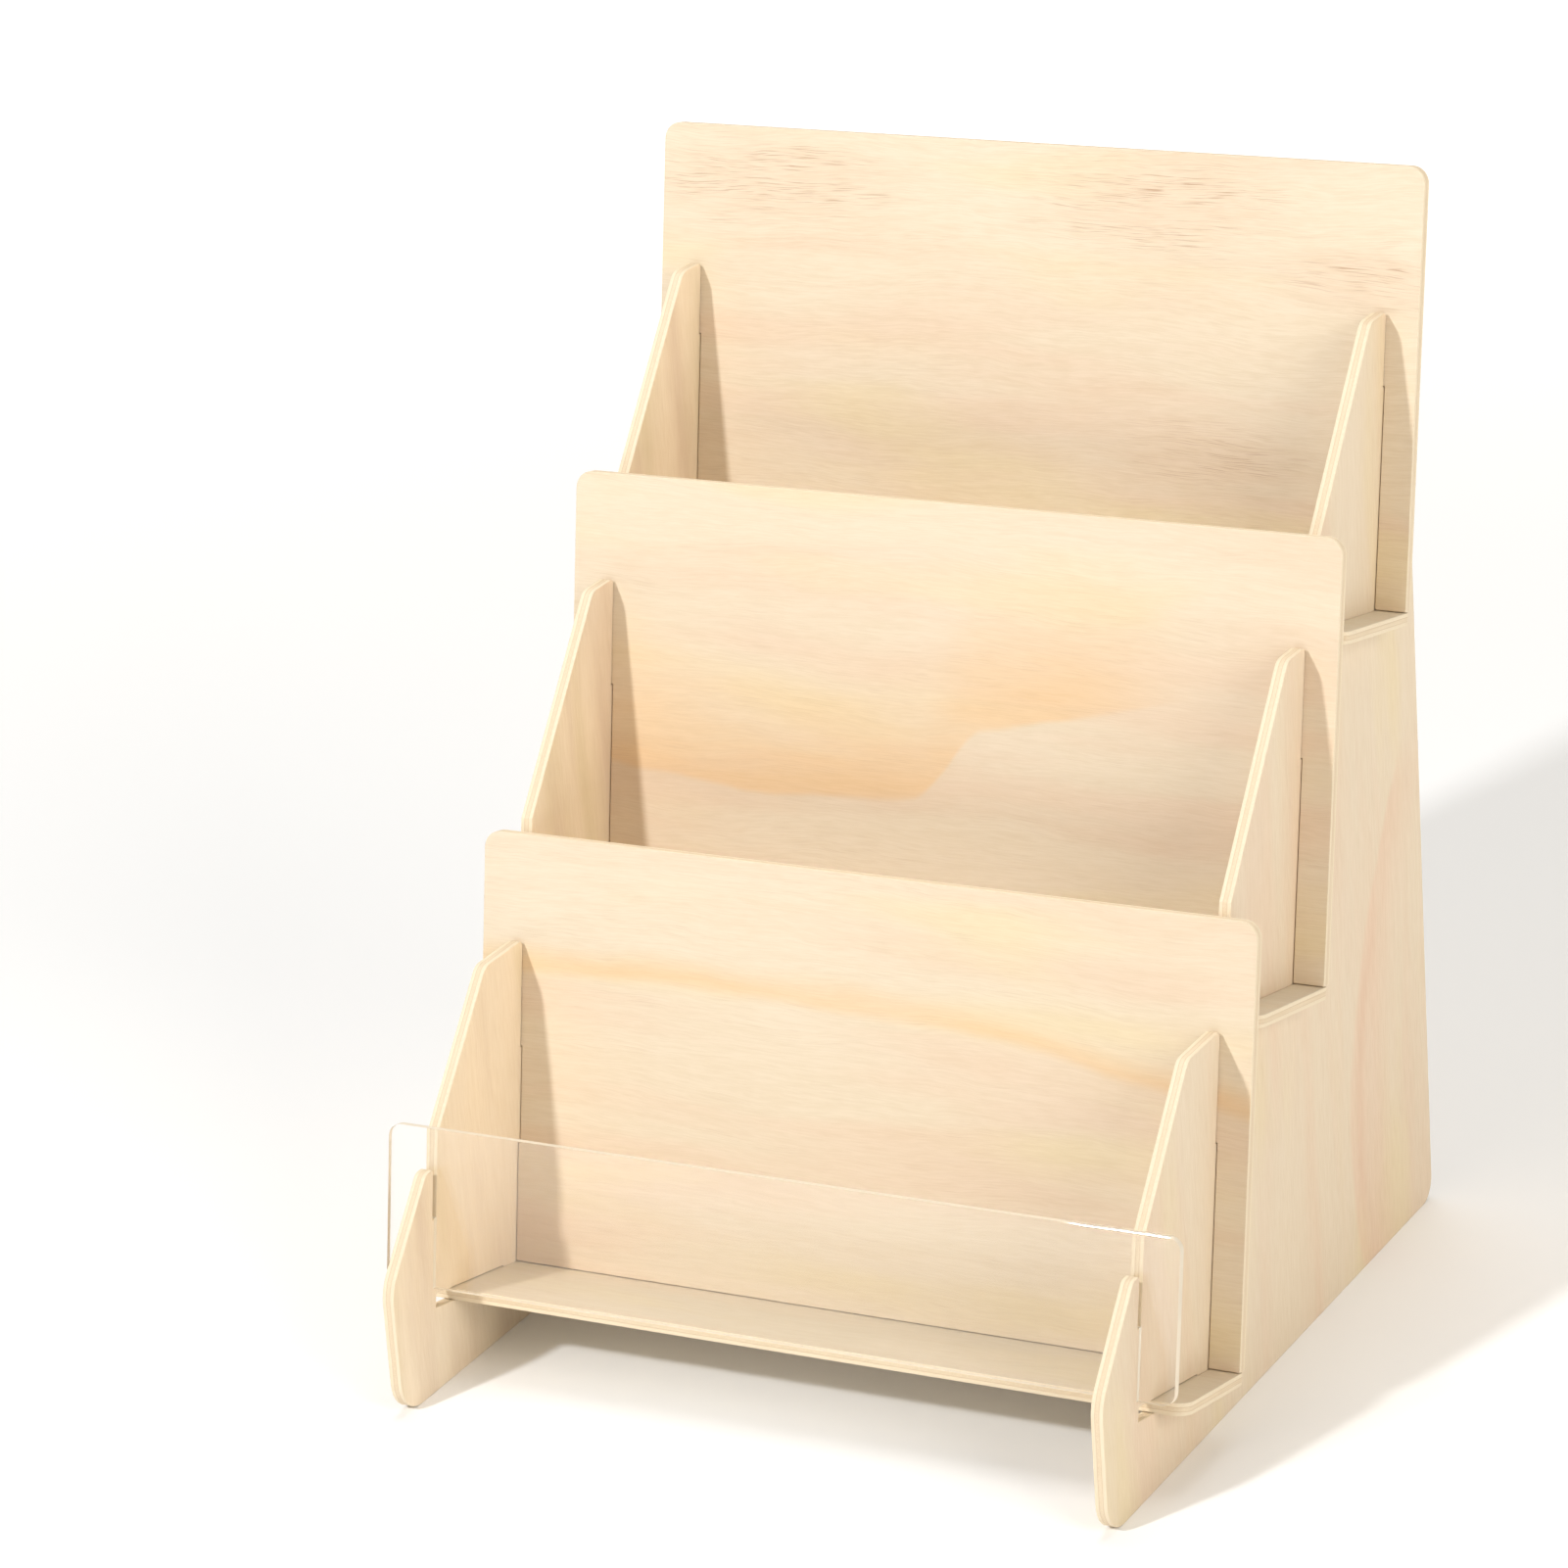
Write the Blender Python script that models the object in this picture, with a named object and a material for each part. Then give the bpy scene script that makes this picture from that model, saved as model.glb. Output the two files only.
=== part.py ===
"""Three-tier brochure rack of slotted plywood boards with a clear front lip.

Frame: metres, +Z up, the front of the rack faces -Y, and the origin is the middle
of the rack's footprint on the surface that it stands on.

A side view is drawn in (y, z). Each tier has its own corner, where the front face
of its back panel meets the top face of its shelf. From a corner, "out" runs along
the shelf towards the front and "up" runs along the back panel.
"""

from math import acos, atan2, cos, radians, sin, tan

import bmesh
import bpy
from mathutils import Matrix, Vector

# ---- driving dimensions -------------------------------------------------------
PLY = 0.0044                # thickness of the plywood
ACRYLIC = 0.0030            # thickness of the clear lip
FIT = 0.0003                # gap left at every joint
LEAN = radians(11.4)        # the back panels lean back, and the shelves tip with them

BOARD_WIDTH = 0.2900        # back panels and shelves, end to end
CLEAR_WIDTH = 0.2580        # between the two side panels
LIP_WIDTH = 0.2940          # clear lip, end to end
RACK_DEPTH = 0.2830         # side panel, front of the foot to the rear edge

TIERS = ("bottom", "middle", "top")
LOWEST_CORNER = Vector((-0.0598, 0.0231))   # (y, z) of the bottom tier's corner
TIER_STEP = Vector((0.0825, 0.1053))        # from one tier's corner to the next

BACK_HEIGHT = 0.1515        # along the slope, from the shelf to the top edge
BACK_LAP = 0.0768           # height of the notch that straddles a side panel
BOARD_CORNER = 0.0060       # radius of the boards' outer corners

SHELF_LAP = 0.0280          # rear notch of the two upper shelves
LOW_SHELF_OUT = 0.0437      # the bottom shelf's front edge, from its corner
LOW_SHELF_LAP = 0.0085      # rear notch of the bottom shelf
LOW_MORTISE_OUT = 0.0554    # front end of the bottom shelf's slot in the side panel

FIN_RISE = (0.1123, 0.1123, 0.1002)         # height of each fin's top above its corner
FIN_APEX_Y = (-0.0635, 0.0300, 0.1113)      # where each fin's flat top turns down
FIN_SLOPE = (1.140, 1.205, 1.190)           # fall of each fin's front edge, dz / dy
FIN_NOSE = 0.0060           # radius of that turn
FIN_HEEL = 0.0020           # radius of the fin's corner beside the back panel

REAR_TOP = 0.3320           # top of the prong behind the top back panel
PRONG_RADIUS = 0.0060

LIP_FOOT_Y = -0.1226        # the lip's middle plane, carried down to the ground
LIP_BOTTOM = 0.0372         # height of the lip's lower edge
LIP_HEIGHT = 0.0557         # along the slope
LIP_SLOT_FLOOR = 0.0610     # height where the side panel's slot for the lip ends
LIP_CORNER = 0.0045

FOOT_TOP = 0.0786           # top of the foot in front of the lip
FOOT_CROWN_Y = -0.1136      # where the foot's flat top turns down
FOOT_TOP_RADIUS = 0.0012
FOOT_CROWN_RADIUS = 0.0040
FOOT_KNEE_Z = 0.0473        # where the foot's sloping front edge turns upright
FOOT_KNEE_RADIUS = 0.0150
FOOT_TOE_RADIUS = 0.0120
HEEL_RADIUS = 0.0085        # lower rear corner of the side panel

ARC_STEP = radians(11.25)   # one straight piece of a rounded corner

# ---- directions in the side view ----------------------------------------------
UP = Vector((sin(LEAN), cos(LEAN)))
OUT = Vector((-cos(LEAN), sin(LEAN)))
FRONT_Y = -RACK_DEPTH / 2
REAR_Y = RACK_DEPTH / 2
PANEL_MID_X = (CLEAR_WIDTH + PLY) / 2

# ---- finishes -------------------------------------------------------------------
PLYWOOD = dict(name="plywood", color=(0.86, 0.70, 0.51, 1.0), roughness=0.62, alpha=1.0)
CLEAR = dict(name="clear_acrylic", color=(0.93, 0.95, 0.94, 1.0), roughness=0.05, alpha=0.3)


def clear_scene():
    """Remove whatever the file holds."""
    for item in list(bpy.data.objects):
        bpy.data.objects.remove(item, do_unlink=True)


def make_collection(name):
    """A new collection, linked to the scene."""
    group = bpy.data.collections.new(name)
    bpy.context.scene.collection.children.link(group)
    return group


def make_material(name, color, roughness, alpha):
    """A Principled material of its own for one board."""
    finish = bpy.data.materials.new(name)
    finish.use_nodes = True
    shader = finish.node_tree.nodes["Principled BSDF"]
    shader.inputs["Base Color"].default_value = color
    shader.inputs["Roughness"].default_value = roughness
    shader.inputs["Metallic"].default_value = 0.0
    shader.inputs["Alpha"].default_value = alpha
    finish.diffuse_color = color
    return finish


def tier_corner(tier):
    """Corner of a tier in the side view, counted from the bottom."""
    return LOWEST_CORNER + TIER_STEP * tier


def on_slope(start, height):
    """Point of the line through start along UP that is at the given height."""
    return start + UP * ((height - start.y) / UP.y)


def rounded(corners):
    """Close a polygon of (point, radius) corners, each radius drawn as a short arc."""
    points = []
    for index, (corner, radius) in enumerate(corners):
        if radius == 0.0:
            points.append(corner.copy())
            continue
        to_last = (corners[index - 1][0] - corner).normalized()
        to_next = (corners[(index + 1) % len(corners)][0] - corner).normalized()
        opening = acos(max(-1.0, min(1.0, to_last.dot(to_next))))
        reach = radius / tan(opening / 2)
        centre = corner + (to_last + to_next).normalized() * (radius / sin(opening / 2))
        first = corner + to_last * reach - centre
        last = corner + to_next * reach - centre
        sweep = atan2(first.x * last.y - first.y * last.x, first.dot(last))
        count = max(2, round(abs(sweep) / ARC_STEP))
        for step in range(count + 1):
            turn = Matrix.Rotation(sweep * step / count, 2)
            points.append(centre + turn @ first)
    return points


def board(name, points, thickness, place, group, finish):
    """Extrude a flat outline into a board, centred on its own plane, as a mesh object."""
    outline = bpy.data.curves.new(name + "_outline", "CURVE")
    outline.dimensions = "2D"
    outline.fill_mode = "BOTH"
    outline.extrude = thickness / 2
    spline = outline.splines.new("POLY")
    spline.points.add(len(points) - 1)
    for knot, point in zip(spline.points, points):
        knot.co = (point.x, point.y, 0.0, 1.0)
    spline.use_cyclic_u = True
    drawn = bpy.data.objects.new(name + "_drawn", outline)
    group.objects.link(drawn)

    graph = bpy.context.evaluated_depsgraph_get()
    mesh = bpy.data.meshes.new_from_object(drawn.evaluated_get(graph))
    bpy.data.objects.remove(drawn, do_unlink=True)
    shell = bmesh.new()
    shell.from_mesh(mesh)
    bmesh.ops.remove_doubles(shell, verts=shell.verts, dist=0.00001)
    shell.to_mesh(mesh)
    shell.free()

    made = bpy.data.objects.new(name, mesh)
    made.matrix_world = place
    made.data.materials.clear()
    made.data.materials.append(make_material(**{**finish, "name": name + "_" + finish["name"]}))
    group.objects.link(made)
    return made


def axes_at(origin, x_axis, y_axis):
    """Placement whose local X and Y run along the two given world directions."""
    z_axis = x_axis.cross(y_axis)
    turn = Matrix((x_axis, y_axis, z_axis)).transposed().to_4x4()
    return Matrix.Translation(origin) @ turn


def in_side_view(point, x=0.0):
    """World point of a side view (y, z) at the given x."""
    return Vector((x, point.x, point.y))


def cut_slot(target, name, centre, length, height, group):
    """Cut a straight slot, tipped like the shelves, right through a side panel."""
    bpy.ops.mesh.primitive_cube_add(size=1.0)
    cutter = bpy.context.active_object
    cutter.name = name
    for owner in list(cutter.users_collection):
        owner.objects.unlink(cutter)
    group.objects.link(cutter)
    cutter.scale = (4 * PLY, length, height)
    cutter.rotation_euler = (-LEAN, 0.0, 0.0)
    cutter.location = centre
    cutter.hide_render = True
    cutter.display_type = "WIRE"
    cut = target.modifiers.new(name, "BOOLEAN")
    cut.operation = "DIFFERENCE"
    cut.solver = "EXACT"
    cut.object = cutter


def back_slot_corners(tier):
    """Slot for one back panel, drawn from its rear mouth to its front mouth."""
    corner = tier_corner(tier)
    floor = corner + UP * (BACK_LAP - FIT)
    rear = floor - OUT * (PLY + FIT)
    front = floor + OUT * FIT
    return rear, front


def fin_corners(tier):
    """Fin in front of one back panel, from beside the panel to its front edge."""
    corner = tier_corner(tier)
    top = corner.y + FIN_RISE[tier]
    _, slot_front = back_slot_corners(tier)
    heel = on_slope(slot_front, top)
    apex = Vector((FIN_APEX_Y[tier], top))
    return [(heel, FIN_HEEL), (apex, FIN_NOSE)]


def fin_front_end(tier, wall):
    """Where a fin's front edge runs into the slot wall through the given point."""
    apex = Vector((FIN_APEX_Y[tier], tier_corner(tier).y + FIN_RISE[tier]))
    fall = Vector((1.0, FIN_SLOPE[tier])).normalized()
    gap = wall - apex
    along = (gap.x * UP.y - gap.y * UP.x) / (fall.x * UP.y - fall.y * UP.x)
    return apex + fall * along


def lip_plane_at(height, offset):
    """Side-view point beside the lip's middle plane, at a height, offset towards the rear."""
    middle = Vector((LIP_FOOT_Y, 0.0))
    return on_slope(middle - OUT * offset, height)


def side_panel_outline():
    """Whole outline of a side panel in the side view, clockwise from the toe."""
    corners = [
        (Vector((FRONT_Y, 0.0)), FOOT_TOE_RADIUS),
        (Vector((REAR_Y, 0.0)), HEEL_RADIUS),
        (Vector((REAR_Y, REAR_TOP)), PRONG_RADIUS),
    ]
    for tier in reversed(range(len(TIERS))):
        rear, front = back_slot_corners(tier)
        if tier == len(TIERS) - 1:
            corners.append((on_slope(rear, REAR_TOP), FIN_HEEL))
        else:
            corners.append((fin_front_end(tier + 1, rear), 0.0))
        corners.append((rear, 0.0))
        corners.append((front, 0.0))
        corners.extend(fin_corners(tier))

    half_slot = ACRYLIC / 2 + FIT
    lip_rear = lip_plane_at(LIP_SLOT_FLOOR, half_slot)
    lip_front = lip_plane_at(LIP_SLOT_FLOOR, -half_slot)
    foot_top = on_slope(lip_front, FOOT_TOP)
    corners.append((fin_front_end(0, lip_rear), 0.0))
    corners.append((lip_rear, 0.0))
    corners.append((lip_front, 0.0))
    corners.append((foot_top, FOOT_TOP_RADIUS))
    corners.append((Vector((FOOT_CROWN_Y, FOOT_TOP)), FOOT_CROWN_RADIUS))
    corners.append((Vector((FRONT_Y, FOOT_KNEE_Z)), FOOT_KNEE_RADIUS))
    return rounded(corners)


def shelf_reach(tier):
    """How far a shelf's front edge and its rear notch lie out from the tier's corner."""
    if tier == 0:
        return LOW_SHELF_OUT, LOW_SHELF_LAP
    lower_back = (tier_corner(tier - 1) - tier_corner(tier)).dot(OUT)
    return lower_back - PLY - FIT, SHELF_LAP


def make_side_panel(name, side, parts, cutters):
    """One side panel with its three shelf slots; side is -1 for left and 1 for right."""
    place = axes_at(Vector((side * PANEL_MID_X, 0.0, 0.0)), Vector((0, 1, 0)), Vector((0, 0, 1)))
    panel = board(name, side_panel_outline(), PLY, place, parts, PLYWOOD)
    for tier, tier_name in enumerate(TIERS):
        front, lap = shelf_reach(tier)
        start = lap - FIT
        end = LOW_MORTISE_OUT if tier == 0 else front + PLY
        middle = tier_corner(tier) + OUT * ((start + end) / 2) - UP * (PLY / 2)
        centre = in_side_view(middle, side * PANEL_MID_X)
        cut_slot(panel, name + "_slot_" + tier_name, centre, end - start, PLY + 2 * FIT, cutters)


def notched_board(half_width, low, high, notch_top, radius_low, radius_high, board_x):
    """Half outline of a board with a notch in its lower edge, on the +X side."""
    slot_in = board_x - PLY / 2 - FIT
    slot_out = board_x + PLY / 2 + FIT
    return [
        (Vector((slot_in, low)), 0.0),
        (Vector((slot_in, notch_top)), 0.0),
        (Vector((slot_out, notch_top)), 0.0),
        (Vector((slot_out, low)), 0.0),
        (Vector((half_width, low)), radius_low),
        (Vector((half_width, high)), radius_high),
    ]


def mirrored(half):
    """Whole outline from the half on the +X side."""
    other = [(Vector((-point.x, point.y)), radius) for point, radius in reversed(half)]
    return rounded(half + other)


def make_back(tier, parts):
    """Back panel of one tier: stands on its shelf and straddles both side panels."""
    half = notched_board(BOARD_WIDTH / 2, FIT, BACK_HEIGHT, BACK_LAP, 0.0, BOARD_CORNER, PANEL_MID_X)
    corner = tier_corner(tier)
    middle = corner - OUT * (PLY / 2)
    up = in_side_view(UP)
    place = axes_at(in_side_view(middle), Vector((1, 0, 0)), up)
    board("back_panel_" + TIERS[tier], mirrored(half), PLY, place, parts, PLYWOOD)


def make_shelf(tier, parts):
    """Shelf of one tier, notched from its rear edge and passing through both side panels."""
    front, lap = shelf_reach(tier)
    # drawn with its rear edge low: the notch then opens downwards, as on the back panels
    half = notched_board(BOARD_WIDTH / 2, -PLY, front, lap, BOARD_CORNER / 2, BOARD_CORNER, PANEL_MID_X)
    middle = tier_corner(tier) - UP * (PLY / 2)
    place = axes_at(in_side_view(middle), Vector((1, 0, 0)), in_side_view(OUT))
    board("shelf_" + TIERS[tier], mirrored(half), PLY, place, parts, PLYWOOD)


def make_lip(parts):
    """Clear lip, which drops into the open slots behind the feet."""
    notch_top = (LIP_SLOT_FLOOR - LIP_BOTTOM) / UP.y + FIT
    half = notched_board(LIP_WIDTH / 2, 0.0, LIP_HEIGHT, notch_top, LIP_CORNER, LIP_CORNER, PANEL_MID_X)
    base = lip_plane_at(LIP_BOTTOM, 0.0)
    place = axes_at(in_side_view(base), Vector((1, 0, 0)), in_side_view(UP))
    board("front_lip", mirrored(half), ACRYLIC, place, parts, CLEAR)


def main():
    """Build the rack."""
    clear_scene()
    parts = make_collection("brochure_rack")
    cutters = make_collection("brochure_rack_cutters")
    make_side_panel("side_panel_left", -1, parts, cutters)
    make_side_panel("side_panel_right", 1, parts, cutters)
    for tier in range(len(TIERS)):
        make_back(tier, parts)
        make_shelf(tier, parts)
    make_lip(parts)


main()
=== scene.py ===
"""Looks of the three-tier brochure rack: slotted plywood boards and a clear front lip.

Every board is a flat sheet with a sawn outline. Its outline is read from its CAD node, a
node tree lays the sheet up ply by ply, and the finishes are solid textures in the board's
own axes: u runs along the grain, v across it, and w through the thickness, in millimetres.
"""

import logging
from dataclasses import dataclass, field
from enum import Enum
from math import cos, pi, radians, sin
from typing import Optional, Union

import bmesh
import bpy
from mathutils import Euler, Matrix, Vector


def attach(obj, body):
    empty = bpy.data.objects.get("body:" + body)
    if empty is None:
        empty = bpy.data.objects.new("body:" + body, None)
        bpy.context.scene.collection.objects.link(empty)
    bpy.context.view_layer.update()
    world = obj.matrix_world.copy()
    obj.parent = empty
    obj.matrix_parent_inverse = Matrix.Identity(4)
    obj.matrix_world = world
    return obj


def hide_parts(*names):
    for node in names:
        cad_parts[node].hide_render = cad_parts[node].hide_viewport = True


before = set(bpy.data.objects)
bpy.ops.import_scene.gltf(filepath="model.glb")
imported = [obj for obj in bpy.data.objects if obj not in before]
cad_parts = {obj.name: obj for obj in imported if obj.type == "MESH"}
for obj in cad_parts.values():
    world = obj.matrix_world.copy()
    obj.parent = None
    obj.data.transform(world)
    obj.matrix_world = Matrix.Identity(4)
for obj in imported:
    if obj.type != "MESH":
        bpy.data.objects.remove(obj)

LOG = logging.getLogger("brochure_rack")

MM = 0.001
LEAN = radians(11.4)        # the backs lean back, and the shelves tip with them
PLIES = 3
BOARD_ARRIS = 0.30 * MM     # how far a board's sharp edges are taken off

Colour = tuple[float, float, float]
Triple = tuple[float, float, float]
Ramp = tuple[float, ...]    # from, to, and the results before and after where they aren't 0 and 1
Feed = Union[bpy.types.NodeSocket, float, int, bool, Triple, tuple[float, float, float, float]]

BOARD_DEEP = 40.0           # a pattern this long through the board hardly changes within it, in mm
ALL_THROUGH = 1.0e6         # and one this long is the same all the way through
SHIFTS = ((7.31, 1.0), (3.77, -1.0), (1.93, 0.5))   # what a seed and a layer add on each axis


# ---- node trees -----------------------------------------------------------------------------


@dataclass
class Chart:
    """Adds the nodes of one tree and joins them.

    Attributes:
        tree: The shader or geometry tree that is being drawn.
    """

    tree: bpy.types.NodeTree

    def feed(self, target: bpy.types.NodeSocket, value: Feed) -> None:
        """Join a socket to an input, or set the input's own number.

        Args:
            target: The input.
            value: Another node's output, or a plain value.
        """
        if isinstance(value, bpy.types.NodeSocket):
            self.tree.links.new(value, target)
        elif target.type == "RGBA" and len(value) == 3:
            target.default_value = (*value, 1.0)
        else:
            target.default_value = value

    def add(self, kind: str, inputs: Optional[dict] = None, **settings) -> bpy.types.Node:
        """Add one node.

        Args:
            kind: The node's Blender type.
            inputs: What goes into its inputs, by their names or numbers.
            **settings: The node's own properties.

        Returns:
            The new node.
        """
        node = self.tree.nodes.new(kind)
        for name, value in settings.items():
            setattr(node, name, value)
        for key, value in (inputs or {}).items():
            self.feed(node.inputs[key], value)
        return node

    def math(self, operation: str, *values: Feed, clamp: bool = False) -> bpy.types.NodeSocket:
        """Result of one Math node.

        Args:
            operation: The Math node's operation.
            *values: Its numbers, in order.
            clamp: Whether the result is held between 0 and 1.

        Returns:
            The node's output.
        """
        kind = "ShaderNodeMath"
        return self.add(kind, dict(enumerate(values)), operation=operation, use_clamp=clamp).outputs[0]

    def scaled(self, place: bpy.types.NodeSocket, lengths: Triple,
               shift: Triple = (0.0, 0.0, 0.0)) -> bpy.types.NodeSocket:
        """Place divided by a length on each axis, which sets the size of a pattern.

        Args:
            place: Millimetres in the board's axes.
            lengths: How many millimetres make one unit of the pattern.
            shift: Moves the pattern, in its own units.

        Returns:
            The pattern's coordinates.
        """
        stretch = tuple(1.0 / length for length in lengths)
        inputs = {0: place, 1: stretch, 2: shift}
        return self.add("ShaderNodeVectorMath", inputs, operation="MULTIPLY_ADD").outputs[0]

    def noise(self, place: bpy.types.NodeSocket, lengths: Triple, shift: Triple = (0.0, 0.0, 0.0),
              detail: float = 2.0, roughness: float = 0.5) -> bpy.types.NodeSocket:
        """A noise of about 0 to 1 that is stretched along the board's axes.

        Args:
            place: Millimetres in the board's axes.
            lengths: Size of its features on each axis, in millimetres.
            shift: Moves the pattern, in its own units.
            detail: How many finer layers lie on it.
            roughness: How strong those layers are.

        Returns:
            The noise.
        """
        vector = self.scaled(place, lengths, shift)
        inputs = {"Vector": vector, "Scale": 1.0, "Detail": detail, "Roughness": roughness}
        return self.add("ShaderNodeTexNoise", inputs).outputs[0]

    def step(self, value: Feed, start: Feed, end: Feed, low: float = 0.0,
             high: float = 1.0) -> bpy.types.NodeSocket:
        """A smooth rise from low to high while value goes from start to end.

        Args:
            value: What rises.
            start: Where the rise begins.
            end: Where it ends.
            low: The result before it.
            high: The result after it.

        Returns:
            The result.
        """
        inputs = {"Value": value, "From Min": start, "From Max": end, "To Min": low, "To Max": high}
        kind = "ShaderNodeMapRange"
        return self.add(kind, inputs, interpolation_type="SMOOTHSTEP").outputs[0]

    def mix(self, share: Feed, first: Feed, second: Feed, how: str = "MIX") -> bpy.types.NodeSocket:
        """Two colours blended.

        Args:
            share: How much of the second colour.
            first: The first colour.
            second: The second colour.
            how: The blend type.

        Returns:
            The blended colour.
        """
        node = self.add("ShaderNodeMix", data_type="RGBA", blend_type=how)
        for key, value in ((0, share), (6, first), (7, second)):
            self.feed(node.inputs[key], value)
        return node.outputs[2]

    def bump(self, height: Feed, strength: float, distance: float) -> bpy.types.NodeSocket:
        """A surface's direction where a fine relief lies on it.

        Args:
            height: Height of the relief, from 0 to 1.
            strength: How strongly it shows.
            distance: Its depth in metres.

        Returns:
            The direction.
        """
        inputs = {"Strength": strength, "Distance": distance, "Height": height}
        return self.add("ShaderNodeBump", inputs).outputs[0]


class Grain(Enum):
    """Which way the face veneer runs, as the turn that lays a board's axes on u, v and w."""

    BACK = (LEAN - pi / 2, 0.0, 0.0)        # along the rack, v up the slope, w to the front
    SHELF = (LEAN, 0.0, 0.0)                # along the rack, v to the rear, w upwards
    SIDE = (0.0, pi / 2, 0.0)               # upright, v to the rear, w to the left

    def turn(self) -> Matrix:
        """Rotation from the rack's axes to the board's."""
        return Euler(self.value).to_matrix()

    def through(self) -> Vector:
        """The board's own w direction in the rack's axes."""
        return self.turn().transposed() @ Vector((0.0, 0.0, 1.0))


@dataclass(frozen=True)
class BoardPlace:
    """Where a board's middle is, for patterns that are drawn in its own axes.

    Attributes:
        grain: The board's axes.
        middle: Its middle, in metres in the rack's axes.
        seed: Sets this board's own figure apart from the others'.
    """

    grain: Grain
    middle: Vector
    seed: float

    def axes(self, chart: Chart) -> bpy.types.NodeSocket:
        """Millimetres along u, v and w from the board's middle.

        Args:
            chart: The material's tree.

        Returns:
            The coordinates.
        """
        shift = self.grain.turn() @ self.middle / -MM
        coords = chart.add("ShaderNodeTexCoord").outputs["Object"]
        inputs = {"Vector": coords, "Location": tuple(shift), "Rotation": self.grain.value,
                  "Scale": (1.0 / MM,) * 3}
        return chart.add("ShaderNodeMapping", inputs, vector_type="POINT").outputs[0]

    def shift(self, layer: float) -> Triple:
        """Offset of one layer of the figure."""
        x, y, z = (self.seed * board + layer * own for board, own in SHIFTS)
        return x, y, z


# ---- finishes -------------------------------------------------------------------------------


@dataclass(frozen=True)
class Layer:
    """One layer of a board's figure.

    Attributes:
        number: Sets the layer apart from the board's other layers.
        lengths: Size of its features along u, v and w, in millimetres.
        detail: How many finer layers lie on it.
        roughness: How strong those are.
    """

    number: float
    lengths: Triple
    detail: float = 2.0
    roughness: float = 0.5

    def draw(self, chart: Chart, place: bpy.types.NodeSocket, board: BoardPlace) -> bpy.types.NodeSocket:
        """The layer's noise at a point.

        Args:
            chart: The material's tree.
            place: Millimetres in the board's axes.
            board: The board's place and seed.

        Returns:
            A value of about 0 to 1.
        """
        return chart.noise(place, self.lengths, board.shift(self.number), self.detail, self.roughness)


@dataclass(frozen=True)
class VeneerFigure:
    """The layers and ramps of a sanded face, the same on every board.

    Attributes:
        swing: Slow bends of the grain.
        ripple: Its small bends.
        ripple_reach: How far those go, in millimetres.
        rosy: Zones of the rose tone.
        rosy_ramp: How the layer becomes rose.
        strawy: Zones of the straw tone.
        strawy_ramp: How the layer becomes straw.
        bleached: Zones of the pale tone.
        bleached_ramp: How the layer becomes pale.
        pale: The pale tone.
        broad: Wide fibres.
        fine: Narrow fibres.
        broad_share: How much of the fibres are wide ones.
        fibre_range: Where the fibres go from dark to light.
        dark_fibre: How much stronger the dark fibres are than the light ones.
        tints: Powers of a fibre's shade in red and in blue, so that dark ones are warmer.
        dash: Short dark pores.
        dash_ramp: How the layer becomes pores.
        clump: Where the pores gather.
        clump_range: Where the clumps begin and end.
        clump_shares: The pores between the clumps and in them, for each unit of strength.
        zone_ramp: How the clumps show in a thick zone.
        pore_height: What a pore adds to the height of the fibres.
        band_number: Layer number of the first growth band.
    """

    swing: Layer = Layer(1.0, (130.0, 42.0, BOARD_DEEP))
    ripple: Layer = Layer(2.0, (17.0, 9.0, 20.0))
    ripple_reach: float = 1.7
    rosy: Layer = Layer(3.0, (210.0, 24.0, 30.0), 2.5)
    rosy_ramp: Ramp = (0.44, 0.66)
    strawy: Layer = Layer(4.0, (150.0, 33.0, 30.0))
    strawy_ramp: Ramp = (0.50, 0.72, 0.0, 0.9)
    bleached: Layer = Layer(9.0, (95.0, 46.0, 30.0))
    bleached_ramp: Ramp = (0.45, 0.75, 0.0, 0.30)
    pale: Colour = (0.790, 0.680, 0.540)
    broad: Layer = Layer(5.0, (34.0, 2.0, 8.0), 3.0, 0.6)
    fine: Layer = Layer(6.0, (8.5, 0.55, 3.0), 2.5, 0.6)
    broad_share: float = 0.32
    fibre_range: Ramp = (0.30, 0.70)
    dark_fibre: float = 1.6
    tints: tuple[float, float] = (0.75, 1.5)
    dash: Layer = Layer(7.0, (15.0, 0.32, 3.0))
    dash_ramp: Ramp = (0.53, 0.68)
    clump: Layer = Layer(8.0, (70.0, 7.0, 30.0))
    clump_range: Ramp = (0.42, 0.66)
    clump_shares: tuple[float, float] = (0.25, 1.6)
    zone_ramp: Ramp = (0.30, 0.62, 0.25, 1.0)
    pore_height: float = -0.5
    band_number: int = 20


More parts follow.
